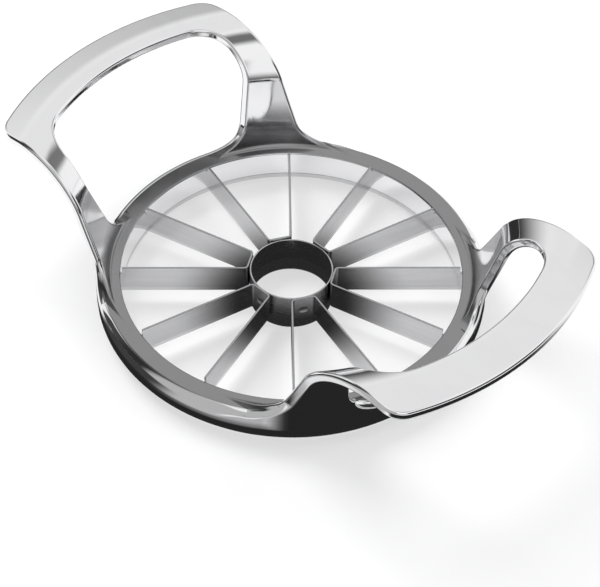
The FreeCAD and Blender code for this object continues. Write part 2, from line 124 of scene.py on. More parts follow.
def new_piece(name, shells, material, crease=40):
    """A mesh object from shells (points in mm, quads), shaded smooth except at creases."""
    points = []
    quads = []
    count = 0
    for shell_points, shell_quads in shells:
        points.append(shell_points.reshape(-1, 3))
        quads.append(shell_quads + count)
        count += len(points[-1])
    points = np.concatenate(points) * MM
    quads = np.concatenate(quads)
    mesh = bpy.data.meshes.new(name)
    mesh.vertices.add(len(points))
    mesh.vertices.foreach_set("co", points.ravel())
    mesh.loops.add(quads.size)
    mesh.loops.foreach_set("vertex_index", quads.ravel())
    mesh.polygons.add(len(quads))
    mesh.polygons.foreach_set("loop_start", np.arange(len(quads)) * 4)
    mesh.update(calc_edges=True)
    shape = bmesh.new()
    shape.from_mesh(mesh)
    bmesh.ops.remove_doubles(shape, verts=shape.verts, dist=SAME_POINT)
    shape.to_mesh(mesh)
    shape.free()
    mesh.validate()
    mesh.shade_smooth()
    mesh.set_sharp_from_angle(angle=np.radians(crease))
    mesh.materials.append(material)
    piece = bpy.data.objects.new(name, mesh)
    scene.collection.objects.link(piece)
    return piece


def lathe(section, steps):
    """A closed section (radius, height) turned about Z.

    A point at angle t is (radius cos t, radius sin t, height).
    """
    radius, height = section[:-1].T
    turn = np.linspace(0, 2 * np.pi, steps, endpoint=False)[:, None]
    points = np.stack(np.broadcast_arrays(
        radius * np.cos(turn), radius * np.sin(turn), height), -1)
    return points, grid_faces(steps, len(radius), wrap_rows=True, wrap_columns=True)


# ---------------------------------------------------------------- frame casting

BORE = 51.0
RIM = 58.4
RING_TOP = 12.0
RING_FOOT = 3.6
CHANNEL = 52.8, 54.8
STAND = 55.6
THICK = 3.0
LEAN = np.radians(18.9)
DROOP = np.radians(9.0)
REACH = 89.9
TIP = 44.8
EDGE = 0.9
RIM_EDGE = 2.0
# rounding of the handle's outer under edge, by height
FOOT_EDGE = np.array([[12.0, RIM_EDGE], [16.0, 2.2], [20.0, 2.8], [24.0, 2.4], [30.0, EDGE]])
EDGE_STEPS = 11

OUTER_FOOT = RIM - 1.0
INNER_FOOT = OUTER_FOOT - THICK / np.cos(LEAN)
HALF_WIDTH = 42.8
SIDE_FLARE = 7.0
GRIP_CORNER = 7.7
OPENING_FOOT = 26.9
OPENING_HALF = 34.4
OPENING_FLARE = 12.0
OPENING_CORNER = 12.5
OPENING_CENTRE = 60.03, 21.9
GRIP_DEPTH = 13.5
SIDE_TOP = 70.0
# from this share of the climb on, the under corners drift to the top corners' own radius
JOIN_FROM = 0.3
# above this height the under face is followed by radius, below it by height
GRIP_HEIGHT = 30.0


def handle_face(foot, tip, foot_rounding, bend, start, side):
    """Section of one face of the handle's sheet: a foot, a straight lean, a bend, a droop."""
    rise = np.tan(LEAN)
    fall = np.tan(DROOP)
    up = (tip + (REACH - foot + RING_TOP * rise) * fall) / (1 + rise * fall)
    across = foot + (up - RING_TOP) * rise
    knee = (RIM, RING_TOP + (RIM - foot) / rise, foot_rounding)
    corner = (foot, RING_TOP, foot_rounding) if side > 0 else knee
    return sampled([(*start, 0), corner, (across, up, bend), (REACH, tip, 0)], side)


def side_normals(across, rows):
    """Corner data of a face of revolution: points and normals at rows of its section."""
    _, radius, height, normal_out, normal_up = rows
    forward = np.sqrt(radius ** 2 - across ** 2)
    points = np.stack([forward, across, height], -1)
    normals = np.stack([normal_out * forward / radius, normal_out * across / radius, normal_up], -1)
    return points, normals


def smooth(values):
    values = np.clip(values, 0, 1)
    return values ** 2 * (3 - 2 * values)


def nearest(points, path):
    """Points moved, seen along X, to the nearest place of a path (across, up)."""
    flat = points.reshape(-1, 3)
    gap = (flat[:, 1:2] - path[1]) ** 2 + (flat[:, 2:3] - path[2]) ** 2
    best = np.argmin(gap, axis=1)
    radius = np.hypot(flat[:, 0], flat[:, 1])
    across = path[1][best]
    forward = np.sqrt(radius ** 2 - across ** 2)
    return np.stack([forward, across, path[2][best]], -1).reshape(points.shape)


def onto_face(points, face, high):
    """Points moved onto a face of revolution: by radius where high, by height elsewhere.

    Gives the run along the face's section and the angle round the axis.
    """
    radius = np.hypot(points[:, 0], points[:, 1])
    top = np.argmax(face[UP])
    by_height = np.interp(points[:, 2], face[UP, :top + 1], face[RUN, :top + 1])
    by_radius = np.interp(radius, face[ACROSS], face[RUN])
    return np.where(high, by_radius, by_height), np.arctan2(points[:, 1], points[:, 0])


def face_points(face, run, turn):
    _, radius, height, _, _ = look_up(face, RUN, run)
    return np.stack([radius * np.cos(turn), radius * np.sin(turn), height], -1)


def bezier(first, pull_first, pull_last, last, share):
    return ((1 - share) ** 3 * first + 3 * (1 - share) ** 2 * share * pull_first
            + 3 * (1 - share) * share ** 2 * pull_last + share ** 3 * last)


def bend_over(corner, start, end, turn_cosine):
    """Rounded edge from start to end, tangent to the faces that meet at the corner.

    A cubic curve whose handles reach a fraction 4/3 tan(a/4) / tan(a/2) of the way to the corner,
    where a is the angle between the faces' normals.
    """
    angle = np.maximum(np.arccos(np.clip(turn_cosine, -1, 1)), 1e-3)[:, None, None]
    pull = 4 / 3 * np.tan(angle / 4) / np.tan(angle / 2)
    start, end, corner = start[:, None], end[:, None], corner[:, None]
    share = np.linspace(0, 1, EDGE_STEPS)[None, :, None]
    return bezier(start, start + (corner - start) * pull, end + (corner - end) * pull, end, share)


def bulged_edge(corner, down, across):
    """Edge of the ring: a bulged arc rises up the wall, then a small rounding meets the top.

    The arc starts 4 down the wall, heads for the point 1.5 down, and ends 2 across the top.
    """
    start = corner + 4.0 * down
    aim = corner + 1.5 * down
    end = corner + 2.0 * across
    back = unit(aim - end)
    knee = end + 0.35 * back
    share = np.linspace(0, 1, EDGE_STEPS - 4)[None, :, None]
    arc = bezier(start, start + (aim - start) * 0.631, knee + (aim - knee) * 0.631, knee, share)
    share = np.linspace(0.25, 1, 4)[None, :, None]
    tail = (1 - share) ** 2 * knee + 2 * share * (1 - share) * end + share ** 2 * (
        end + 0.35 * across)
    return np.concatenate([arc, tail], axis=1)


def handle_sides():
    """For the outer side and the opening: outline (across, up), plan corner, reach and sign."""
    outer = sampled([(60, RING_TOP, 0), (HALF_WIDTH, RING_TOP, SIDE_FLARE),
                     (HALF_WIDTH, SIDE_TOP, 0)], -1)
    opening = sampled([(0, RING_TOP, 0), (OPENING_FOOT, RING_TOP, OPENING_FLARE),
                       (OPENING_HALF, 36, 30.0), (OPENING_HALF, SIDE_TOP, 0)], 1)
    across = HALF_WIDTH - GRIP_CORNER
    centre = np.array([np.sqrt((REACH - GRIP_CORNER) ** 2 - across ** 2), across])
    return {"out": (outer, centre, GRIP_CORNER, REACH, 1),
            "in": (opening, np.array(OPENING_CENTRE), OPENING_CORNER, REACH - GRIP_DEPTH, -1)}


def wall_corners(side, top, under, low_run, climb):
    """Corner points, normals and cut normals up the wall: a triple for the top face, one for under.

    Low down, the under corners lie a fixed height below the top ones. Higher up they lie inwards
    by the sheet's thickness, and in the end at the top corners' own radius.
    """
    path, centre, corner_radius, _, _ = side
    edge = path[:, np.searchsorted(path[UP], RING_TOP + 1e-6) - 1:]
    tip_run = np.interp(np.hypot(centre[0], centre[1] + corner_radius), top[ACROSS], top[RUN])
    run = np.concatenate([low_run, low_run[-1] + (tip_run - low_run[-1]) * climb])
    rows = look_up(top, RUN, run)
    joining = np.concatenate([np.zeros(len(low_run)),
                              smooth((climb - JOIN_FROM) / (1 - JOIN_FROM))])
    floor = RING_TOP + 0.1 * (rows[UP] - RING_TOP)
    low_up = np.maximum(rows[UP] - THICK * np.sin(LEAN), floor)
    under_rise = under[:, :np.argmax(under[UP]) + 1]
    by_up = look_up(under_rise, UP, low_up)
    by_radius = look_up(under, ACROSS, rows[ACROSS] - THICK * rows[3] * (1 - joining))
    under_rows = np.where(np.arange(len(run)) < len(low_run), by_up, by_radius)
    corners = []
    for face_rows in (rows, under_rows):
        _, across, _, normal_across, normal_up = look_up(edge, UP, face_rows[UP])
        points, normals = side_normals(across, face_rows)
        cut = unit(np.stack([0 * across, normal_across, normal_up], -1))
        corners.append((points, normals, cut))
    return corners


def tip_corners(side, faces):
    """The same triples round the tip's corner in plan, then along the end, drawn round the axis."""
    _, centre, corner_radius, reach, sign = side
    swing = np.arctan2(centre[1], centre[0])
    bend_angle = np.linspace(np.pi / 2, swing, 20)[1:]
    grip_angle = np.linspace(swing, 0, 44)[1:]
    way = np.stack([np.cos(bend_angle), np.sin(bend_angle)], 1)
    grip_way = np.stack([np.cos(grip_angle), np.sin(grip_angle)], 1)
    plan = np.concatenate([centre + corner_radius * way, reach * grip_way])
    outward = np.concatenate([way, grip_way]) * sign
    corners = []
    for face in faces:
        _, radius, height, normal_out, normal_up = look_up(
            face, ACROSS, np.linalg.norm(plan, axis=1))
        points = np.stack([*plan.T, height], -1)
        normals = np.stack([normal_out * plan[:, 0] / radius,
                            normal_out * plan[:, 1] / radius, normal_up], -1)
        corners.append((points, normals, np.stack([*outward.T, 0 * height], -1)))
    return corners


def rounded_corner(corner, face, path, rooted, radius, high):
    """A corner rounded over: run and angle where it leaves the face, and its curve to the cut."""
    points, normals, cut = corner
    cosine = dot(normals, cut)
    on_face = points + radius * (normals * cosine - cut) / (1 + cosine)
    on_cut = points + radius * (cut * cosine - normals) / (1 + cosine)
    run, turn = onto_face(on_face, face, high)
    on_cut = np.where(rooted[:, None], nearest(on_cut, path), on_cut)
    return run, turn, bend_over(points, face_points(face, run, turn), on_cut, cosine[:, 0])


def under_radius(key, height):
    """Rounding of the under edges: by the table outside, and growing towards the foot inside."""
    if key == "out":
        return np.interp(height, *FOOT_EDGE.T)[:, None]
    return EDGE + (RIM_EDGE - EDGE) * (1 - smooth((height - RING_TOP) / 6))[:, None]


def fill_face(face, first, last):
    """A face between two rounded corners, even in (run, angle)."""
    share = np.concatenate([[0.0], np.linspace(0.02, 0.98, 20), [1.0]])[None, :]
    run = first[0][:, None] + (last[0] - first[0])[:, None] * share
    turn = first[1][:, None] + (last[1] - first[1])[:, None] * share
    return face_points(face, run, turn)


def fill_cut(first, last, path, rooted):
    """A cut face, from the top face's rounding down to the under face's."""
    share = np.concatenate([[0.0], np.linspace(0.08, 0.92, 8), [1.0]])[None, :, None]
    first, last = first[2][:, -1:], last[2][:, -1:]
    points = first + (last - first) * share
    moved = nearest(points, path)
    moved[:, 0], moved[:, -1] = points[:, 0], points[:, -1]
    return np.where(rooted[:, None, None], moved, points)


def sunk_foot(inside):
    """Sections that go on from the foot inside the ring, where they close on one point."""
    radius = np.hypot(inside[:, 0], inside[:, 1])
    turn = np.arctan2(inside[:, 1], inside[:, 0])
    middle = 56.0
    sunk = []
    for pull, limit in ((0.15, 11.6), (1.0, 10.6)):
        drawn = middle + (radius - middle) * (1 - pull)
        height = np.minimum(inside[:, 2], limit) * (1 - pull) + limit * pull
        sunk.append(np.stack([drawn * np.cos(turn), drawn * np.sin(turn), height], -1))
    sunk[-1] = np.broadcast_to(sunk[-1].mean(axis=0), sunk[-1].shape)
    return np.stack(sunk[::-1])


def make_handle():
    """One loop handle as a closed shell: its rounded section is carried round the loop.

    The top and under faces are surfaces of revolution. At each station along the loop, the cut
    faces meet them in four corners. Each corner is rounded over, and the faces are filled between
    the roundings in (run along the section, angle round the axis), so they stay exact.
    """
    top = handle_face(INNER_FOOT, TIP, 1.6, 20.0, (50.0, RING_TOP), 1)
    under = handle_face(OUTER_FOOT, TIP - THICK / np.cos(DROOP), 12.0, 17.0, (RIM, 8.0), -1)
    top = top[:, top[ACROSS] >= INNER_FOOT - 1.143]
    faces = {"top": top, "under": under}

    # stations: foot fillet, flare, then the climb over the lean and the bend
    fillet_end, flare_end = look_up(top, UP, np.array([13.08, 20.4]))[RUN]
    low_run = np.concatenate([np.linspace(top[RUN, 0], fillet_end, 14)[:-1],
                              np.linspace(fillet_end, flare_end, 18)])
    climb = np.linspace(0, 1, 50)[1:]
    sides = handle_sides()
    rounded = {}
    for key, side in sides.items():
        wall = wall_corners(side, top, under, low_run, climb)
        tip = tip_corners(side, (top, under))
        for name, low, far in zip(faces, wall, tip):
            corner = [np.concatenate(pair) for pair in zip(low, far)]
            height = corner[0][:, 2]
            rooted = np.arange(len(height)) < len(low_run) + len(climb)
            is_top = name == "top"
            radius = EDGE if is_top else under_radius(key, height)
            high = np.full(len(height), True) if is_top else height > GRIP_HEIGHT
            rounded[key, name] = rounded_corner(corner, faces[name], side[0], rooted, radius, high)

    top_in, top_out = rounded["in", "top"], rounded["out", "top"]
    under_in, under_out = rounded["in", "under"], rounded["out", "under"]
    around = [fill_face(top, top_in, top_out), top_out[2],
              fill_cut(top_out, under_out, sides["out"][0], rooted), under_out[2][:, ::-1],
              fill_face(under, under_out, under_in), under_in[2],
              fill_cut(top_in, under_in, sides["in"][0], rooted)[:, ::-1], top_in[2][:, ::-1]]
    loop = np.concatenate([stretch[:, :-1] for stretch in around], axis=1)
    half = np.concatenate([sunk_foot(loop[0]), loop])
    mirror = half[::-1][1:] * np.array([1, -1, 1])
    return np.concatenate([half, mirror])


def ring_shell(steps=360):
    """The ring: a section turned about Z, its outer top edge softer where a handle grows."""
    turn = np.linspace(0, 2 * np.pi, steps, endpoint=False)
    from_handle = np.abs((np.degrees(turn) + 90) % 180 - 90)
    lower = rounded_path([
        (BORE, 8.0, 0), (BORE, RING_FOOT, 0.2), (CHANNEL[0], RING_FOOT, 0.2),
        (CHANNEL[0], 9.6, 0.5), (CHANNEL[1], 9.6, 0.5), (CHANNEL[1], 0, 0.2), (STAND, 0, 0.3),
        (RIM, 4.2, 8.0), (RIM, 7.8, 0)], step=0.15)
    upper = rounded_path([(55.8, RING_TOP, 0), (BORE, RING_TOP, 0.5), (BORE, 8.0, 0)])[:-1]
    corner = np.array([[[RIM, RING_TOP]]])
    down, across = np.array([[[0.0, -1.0]]]), np.array([[[-1.0, 0.0]]])
    round_edge = bend_over(corner[0], (corner + RIM_EDGE * down)[0],
                           (corner + RIM_EDGE * across)[0], np.zeros(1))
    crisp_edge = bulged_edge(corner, down, across)
    # in degrees from the handle's axis; under the foot the rim lies just inside the handle
    soft = smooth((68 - from_handle) / 8)[:, None, None]
    edge = crisp_edge + (round_edge - crisp_edge) * soft
    section = np.concatenate([np.broadcast_to(lower, (steps, *lower.shape)), edge,
                              np.broadcast_to(upper, (steps, *upper.shape))], axis=1)
    radius, height = np.moveaxis(section, -1, 0)
    sunk = 0.05 * smooth((57 - from_handle) / 2)[:, None]
    radius = radius - np.where(radius > RIM - 2.5, sunk, 0)
    points = np.stack([radius * np.cos(turn)[:, None], radius * np.sin(turn)[:, None], height], -1)
    return points, grid_faces(steps, points.shape[1], wrap_rows=True, wrap_columns=True)


def frame_casting(material):
    """The ring, and the handle with its half-turned twin."""
    ring_points, ring_quads = ring_shell()
    handle = make_handle()
    quads = grid_faces(*handle.shape[:2], wrap_columns=True)
    twin = handle * np.array([-1, -1, 1])
    return new_piece("frame_casting",
                     [(ring_points, ring_quads), (handle, quads), (twin, quads)], material)


# ---------------------------------------------------------------- blades and corer

TAB_REACH = 54.2
STEP_REACH = 50.6
ARM_REACH = 16.0
FACET = 12.85
HALF_FOLD = np.radians(15)
FOLD_ROUNDING = 1.1
TAB_TOP = 11.0
BLADE_TOP = 13.1
BLADE_HALF = 0.3
BLADE_HEIGHT = 9.5
TUBE = 12.0, 12.5


def strip_points():
    """One folded strip, its facet square to X: a ground section carried along the folded line.

    A point is the line's point plus its sideways normal times the section's offset, at the
    section's height. Past the step the top drops to the tab's height. The facet's outer side is
    dished by 1 - d squared, where d is the distance from the weld's middle over its half width.
    """
    tab = TAB_REACH * np.array([np.cos(HALF_FOLD), np.sin(HALF_FOLD)])
    knee = np.array([FACET, FACET * np.tan(HALF_FOLD)])
    line = sampled([(*(tab * [1, -1]), 0), (*(knee * [1, -1]), FOLD_ROUNDING),
                    (*knee, FOLD_ROUNDING), (*tab, 0)], -1, 0.01)
    reach = np.hypot(line[ACROSS], line[UP])
    last = line[RUN, -1]
    half = len(reach) // 2
    step = np.interp(-STEP_REACH, -reach[:half], line[RUN, :half])
    arm = np.interp(-ARM_REACH, -reach[:half], line[RUN, :half])
    outer = np.concatenate([np.linspace(0, step - 0.02, 8), np.linspace(step + 0.02, arm, 40)[:-1]])
    run = np.concatenate([outer, np.linspace(arm, last - arm, 70), (last - outer)[::-1]])
    _, across, along, normal_x, normal_y = look_up(line, RUN, run)
    on_tab = (run < step) | (run > last - step)
    top = np.where(on_tab, TAB_TOP, BLADE_TOP)[:, None]

    bevel = np.radians(np.linspace(0, 90, 4))
    ground = RING_FOOT + np.array([1.3, 1.4, 1.5])
    wall = np.concatenate([ground, np.linspace(RING_FOOT + 2, BLADE_TOP, 24)])
    rounding = 0.09
    offset = np.concatenate([[-0.08, 0.08], np.full(len(wall), BLADE_HALF),
                             BLADE_HALF - rounding + rounding * np.cos(bevel)])
    height = np.concatenate([[0, 0], wall - RING_FOOT,
                             BLADE_HEIGHT - rounding + rounding * np.sin(bevel)])
    offset = np.concatenate([offset, -offset[:1:-1]])
    height = np.concatenate([height, height[:1:-1]])
    height = np.where(height[None, :] > 9.0,
                      top - RING_FOOT - (BLADE_HEIGHT - height[None, :]),
                      np.minimum(height[None, :], top - RING_FOOT - 0.2))
    offset = offset[None, :] * (1 - 0.5 * ((height < 1.35) & (height > 0.2)))
    offset = np.broadcast_to(offset, height.shape)
    points = np.stack([across[:, None] + normal_x[:, None] * offset,
                       along[:, None] + normal_y[:, None] * offset, RING_FOOT + height], -1)
    weld = (points[..., 1] / 1.5) ** 2 + ((points[..., 2] - 8.2) / 1.05) ** 2
    outside = (points[..., 0] > 13.05) & (np.abs(points[..., 1]) < 2.0)
    points[..., 0] -= np.where(outside, 0.14 * np.maximum(1 - weld, 0) ** 0.7, 0)
    points[..., 0] += np.where(outside & (weld >= 1), 0.03 * np.exp(-(weld - 1) * 6), 0)
    return points


def closed_ends(points):
    """A carried section with a last ring at each end, drawn in to the section's middle."""
    first = np.broadcast_to(points[0].mean(axis=0), points[0].shape)
    last = np.broadcast_to(points[-1].mean(axis=0), points[-1].shape)
    return np.concatenate([first[None], points, last[None]])


def blade_strip(index, material):
    turn = np.radians(30 + 60 * index)
    points = closed_ends(strip_points())
    cosine, sine = np.cos(turn), np.sin(turn)
    turned = np.stack([points[..., 0] * cosine - points[..., 1] * sine,
                       points[..., 0] * sine + points[..., 1] * cosine, points[..., 2]], -1)
    quads = grid_faces(*points.shape[:2], wrap_columns=True)
    return new_piece(f"folded_blade_{index + 1}", [(turned, quads)], material, 20)


def corer_shell(material):
    """Thin tube: rounded lip on top, ground from outside below."""
    inner, outer = TUBE
    section = rounded_path([(inner, 0.1, 0.03), (12.2, 0.1, 0.03), (outer, 1.1, 0.5),
                            (outer, 12.7, 0.2), (inner, 12.7, 0.2)], closed=True, guard=0.05)
    return new_piece("corer_shell", [lathe(section, 240)], material)


# ---------------------------------------------------------------- finishes

class Nodes:
    """Adds nodes to a tree and links them."""

    def __init__(self, tree):
        self.tree = tree

    def add(self, kind, values=None, **settings):
        node = self.tree.nodes.new(kind)
        for key, value in settings.items():
            setattr(node, key, value)
        for key, value in (values or {}).items():
            self.put(node.inputs[key], value)
        return node

    def put(self, socket, value):
        if isinstance(value, bpy.types.NodeSocket):
            self.tree.links.new(value, socket)
        else:
            socket.default_value = value

    def math(self, operation, *values, clamp=False):
        node = self.add("ShaderNodeMath", operation=operation, use_clamp=clamp)
        for socket, value in zip(node.inputs, values):
            self.put(socket, value)
        return node.outputs[0]

    def span(self, value, low, high, to_low=0.0, to_high=1.0, soft=True):
        """A value carried from one range to another."""
        kind = "SMOOTHSTEP" if soft else "LINEAR"
        node = self.add("ShaderNodeMapRange", interpolation_type=kind)
        for socket, item in zip(node.inputs, (value, low, high, to_low, to_high)):
            self.put(socket, item)
        return node.outputs[0]

    def blend(self, share, first, second, kind="MIX"):
        node = self.add("ShaderNodeMix", data_type="RGBA", blend_type=kind)
        self.put(node.inputs["Factor"], share)
        self.put(node.inputs[6], first)
        self.put(node.inputs[7], second)
        return node.outputs[2]

    def noise(self, vector, scale, detail=3.0, roughness=0.5, distortion=0.0):
        node = self.add("ShaderNodeTexNoise", {
            "Vector": vector, "Scale": scale, "Detail": detail, "Roughness": roughness,
            "Distortion": distortion})
        return node.outputs["Fac"]


def effect(name, inputs, outputs):
    """An empty node group with float or vector inputs and float outputs."""
    group = bpy.data.node_groups.new(name, "ShaderNodeTree")
    for socket, kind, value in inputs:
        item = group.interface.new_socket(socket, in_out="INPUT", socket_type=kind)
        if value is not None:
            item.default_value = value
    for socket in outputs:
        group.interface.new_socket(socket, in_out="OUTPUT", socket_type="NodeSocketFloat")
    nodes = Nodes(group)
    return group, nodes, nodes.add("NodeGroupInput").outputs, nodes.add("NodeGroupOutput").inputs


def make_handling_marks():
    """Faint smears and specks left by hands and cloths."""
    group, nodes, given, result = effect("handling_marks", [
        ("Vector", "NodeSocketVector", None),
        ("Scale", "NodeSocketFloat", 40.0),
    ], ["Smear", "Specks"])
    wide = nodes.noise(given["Vector"], given["Scale"], 4.0, 0.6, 0.8)
    fine = nodes.noise(given["Vector"], nodes.math("MULTIPLY", given["Scale"], 22.0), 2.0, 0.6)
    nodes.put(result["Smear"], nodes.span(wide, 0.42, 0.68))
    nodes.put(result["Specks"], nodes.span(fine, 0.70, 0.82))
    return group


def make_polishing_lines():
    """Hair-fine lines along one direction: noise drawn out by a stretched vector."""
    group, nodes, given, result = effect("polishing_lines", [
        ("Vector", "NodeSocketVector", None),
        ("Scale", "NodeSocketFloat", 900.0),
    ], ["Lines", "Bands"])
    fine = nodes.noise(given["Vector"], given["Scale"], 2.0, 0.6)
    wide = nodes.noise(given["Vector"], nodes.math("MULTIPLY", given["Scale"], 0.12), 2.0, 0.5)
    nodes.put(result["Lines"], fine)
    nodes.put(result["Bands"], nodes.span(wide, 0.35, 0.65))
    return group


handling_marks = make_handling_marks()
polishing_lines = make_polishing_lines()


def new_material(name):
    material = bpy.data.materials.new(name)
    material.use_nodes = True
    tree = material.node_tree
    nodes = Nodes(tree)
    shader = tree.nodes["Principled BSDF"]
    place = nodes.add("ShaderNodeTexCoord").outputs["Object"]
    return material, nodes, shader, place


def place_parts(nodes, place):
    """Radius round the axis and height, in metres."""
    parts = nodes.add("ShaderNodeSeparateXYZ", {"Vector": place}).outputs
    radius = nodes.math("SQRT", nodes.math("ADD", nodes.math("MULTIPLY", parts[0], parts[0]),
                                         nodes.math("MULTIPLY", parts[1], parts[1])))
    return parts, radius


def polished_casting():
    """Mirror-polished alloy with a slight swell, a dull as-cast channel underneath, and painted
    shade darkening the flange top.
    """
    material, nodes, shader, place = new_material("polished_casting")
    parts, radius = place_parts(nodes, place)
    # masks by radius and height are in metres
    marks = nodes.add("ShaderNodeGroup", {"Vector": place, "Scale": 38.0},
                      node_tree=handling_marks).outputs
    channel = nodes.math(
        "MULTIPLY", nodes.math("MULTIPLY", nodes.span(radius, 0.0524, 0.0528),
                              nodes.span(radius, 0.0552, 0.0548)),
        nodes.span(parts[2], 0.0100, 0.0096), clamp=True)
    grain = nodes.noise(place, 2600.0, 2.0, 0.6)
    swell = nodes.noise(place, 45.0, 1.0, 0.4)
    tone = nodes.blend(marks["Smear"], (0.87, 0.87, 0.88, 1), (0.85, 0.85, 0.86, 1))
    tone = nodes.blend(channel, tone, (0.42, 0.42, 0.43, 1))
    # Flange top and handle roots: a rougher finish, and painted shade, the base colour darkened to
    # 0.30 in place of the dark reflection there
    faced_and_painted_shade = nodes.math("MULTIPLY", nodes.math("MULTIPLY", nodes.span(parts[2], 0.0118, 0.0119),
                                            nodes.span(parts[2], 0.0200, 0.0125)),
                      nodes.span(radius, 0.0566, 0.0563), clamp=True)
    tone = nodes.blend(faced_and_painted_shade, tone, (0.30, 0.30, 0.305, 1))
    nodes.put(shader.inputs["Base Color"], tone)
    shader.inputs["Metallic"].default_value = 1.0
    gloss = nodes.span(marks["Smear"], 0, 1, 0.05, 0.11, soft=False)
    gloss = nodes.math("ADD", gloss, nodes.math("MULTIPLY", marks["Specks"], 0.10))
    gloss = nodes.math("ADD", gloss, nodes.math("MULTIPLY", channel, 0.42))
    gloss = nodes.math("ADD", gloss, nodes.math("MULTIPLY", faced_and_painted_shade, 0.16))
    nodes.put(shader.inputs["Roughness"], gloss)
    rough_height = nodes.math("MULTIPLY", nodes.math("MULTIPLY", grain, channel), 0.5)
    height = nodes.math("ADD", rough_height, nodes.math("MULTIPLY", swell, 0.35))
    bump = nodes.add("ShaderNodeBump", {"Strength": 0.35, "Distance": 0.0002, "Height": height})
    nodes.put(shader.inputs["Normal"], bump.outputs["Normal"])
    return material


def brushed(name, tone, dark, roughness, stretch, scale):
    """Satin steel: polishing lines along the piece, a few smears, ground edges made brighter by a
    painted highlight, and a painted dark line along the top crest.
    """
    material, nodes, shader, place = new_material(name)
    parts, radius = place_parts(nodes, place)
    level = nodes.math("MULTIPLY", parts[2], stretch[2])
    outward = nodes.math("MULTIPLY", radius, stretch[0])
    turn = nodes.math("MULTIPLY", nodes.math("ARCTAN2", parts[1], parts[0]), stretch[1])
    vector = nodes.add("ShaderNodeCombineXYZ", {"X": outward, "Y": turn, "Z": level})
    lines = nodes.add("ShaderNodeGroup", {"Vector": vector.outputs[0], "Scale": scale},
                      node_tree=polishing_lines).outputs
    marks = nodes.add("ShaderNodeGroup", {"Vector": place, "Scale": 70.0},
                      node_tree=handling_marks).outputs
    # Below 5 mm: a ground edge, its lighter colour a painted highlight in place of the floor's
    # reflection on the lower blade
    ground = nodes.span(parts[2], 0.0051, 0.00495)
    colour = nodes.blend(lines["Bands"], tone, dark)
    colour = nodes.blend(nodes.math("MULTIPLY", marks["Smear"], 0.3), colour, dark)
    colour = nodes.blend(ground, colour, (0.66, 0.66, 0.67, 1))
    # Painted shade: a dark line along the rounded top edge, in place of the dark reflection seen
    # there
    crest_painted_shade = nodes.span(parts[2], 0.01298, 0.01304)
    colour = nodes.blend(crest_painted_shade, colour, (0.40, 0.40, 0.41, 1))
    nodes.put(shader.inputs["Base Color"], colour)
    shader.inputs["Metallic"].default_value = 1.0
    gloss = nodes.span(lines["Lines"], 0.3, 0.7, roughness - 0.05, roughness + 0.06, soft=False)
    gloss = nodes.math("ADD", gloss, nodes.math("MULTIPLY", marks["Specks"], 0.12))
    nodes.put(shader.inputs["Roughness"], gloss)
    bump = nodes.add("ShaderNodeBump", {"Strength": 0.15, "Distance": 0.00003,
                                        "Height": lines["Lines"]})
    nodes.put(shader.inputs["Normal"], bump.outputs["Normal"])
    return material


casting_finish = polished_casting()
blade_finish = brushed("blade_steel", (0.60, 0.60, 0.61, 1), (0.57, 0.57, 0.58, 1), 0.20,
                       (1.0, 0.02, 14.0), 420.0)
tube_finish = brushed("tube_steel", (0.56, 0.56, 0.57, 1), (0.52, 0.52, 0.53, 1), 0.22,
                      (1.0, 0.01, 14.0), 420.0)
plate_finish = brushed("plate_steel", (0.60, 0.60, 0.61, 1), (0.50, 0.50, 0.51, 1), 0.32,
                       (10.0, 0.02, 1.0), 120.0)
screw_finish = brushed("screw_steel", (0.55, 0.55, 0.56, 1), (0.42, 0.42, 0.43, 1), 0.25,
                       (8.0, 0.6, 8.0), 300.0)

casting = frame_casting(casting_finish)
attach(casting, "root")
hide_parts("frame")
for index in range(6):
    blade = blade_strip(index, blade_finish)
    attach(blade, "root")
    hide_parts(f"blade_strip_{index + 1}")
tube = corer_shell(tube_finish)
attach(tube, "root")
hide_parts("corer_tube")
for node, finish in (("retaining_ring", plate_finish), ("retaining_screws", screw_finish)):
    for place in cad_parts[node].material_slots:
        place.material = finish


# ---------------------------------------------------------------- studio

def studio_floor():
    """Pale floor: it shows near white to the camera and keeps the soft shadow."""
    mesh = bpy.data.meshes.new("floor")
    size = 12.0
    corners = [(-size, -size, 0), (size, -size, 0), (size, size, 0), (-size, size, 0)]
    mesh.from_pydata(corners, [], [(0, 1, 2, 3)])
    floor = bpy.data.objects.new("floor", mesh)
    scene.collection.objects.link(floor)
    material = bpy.data.materials.new("floor_paint")
    material.use_nodes = True
    nodes = Nodes(material.node_tree)
    shader = material.node_tree.nodes["Principled BSDF"]
    shader.inputs["Base Color"].default_value = (0.9, 0.9, 0.9, 1)
    shader.inputs["Roughness"].default_value = 0.8
    shader.inputs["Specular IOR Level"].default_value = 0.0
    glow = nodes.add("ShaderNodeEmission", {"Color": (1, 1, 1, 1), "Strength": 1.0})
    rays = nodes.add("ShaderNodeLightPath").outputs
    seen = nodes.math("MAXIMUM", rays["Is Camera Ray"], rays["Is Glossy Ray"])
    mix = nodes.add("ShaderNodeMixShader", {"Fac": nodes.math("MULTIPLY", seen, 0.55)})
    nodes.put(mix.inputs[1], shader.outputs[0])
    nodes.put(mix.inputs[2], glow.outputs[0])
    nodes.put(material.node_tree.nodes["Material Output"].inputs["Surface"], mix.outputs[0])
    mesh.materials.append(material)


def studio_sky():
    world = bpy.data.worlds.new("studio")
    scene.world = world
    world.use_nodes = True
    nodes = Nodes(world.node_tree)
    background = world.node_tree.nodes["Background"]
    rays = nodes.add("ShaderNodeLightPath").outputs
    seen = nodes.math("MAXIMUM", nodes.math("MAXIMUM", rays["Is Camera Ray"], rays["Is Glossy Ray"]),
                     rays["Is Transmission Ray"])
    nodes.put(background.inputs["Color"], nodes.blend(seen, (0.62, 0.62, 0.63, 1), (1, 1, 1, 1)))
    background.inputs["Strength"].default_value = 1.0


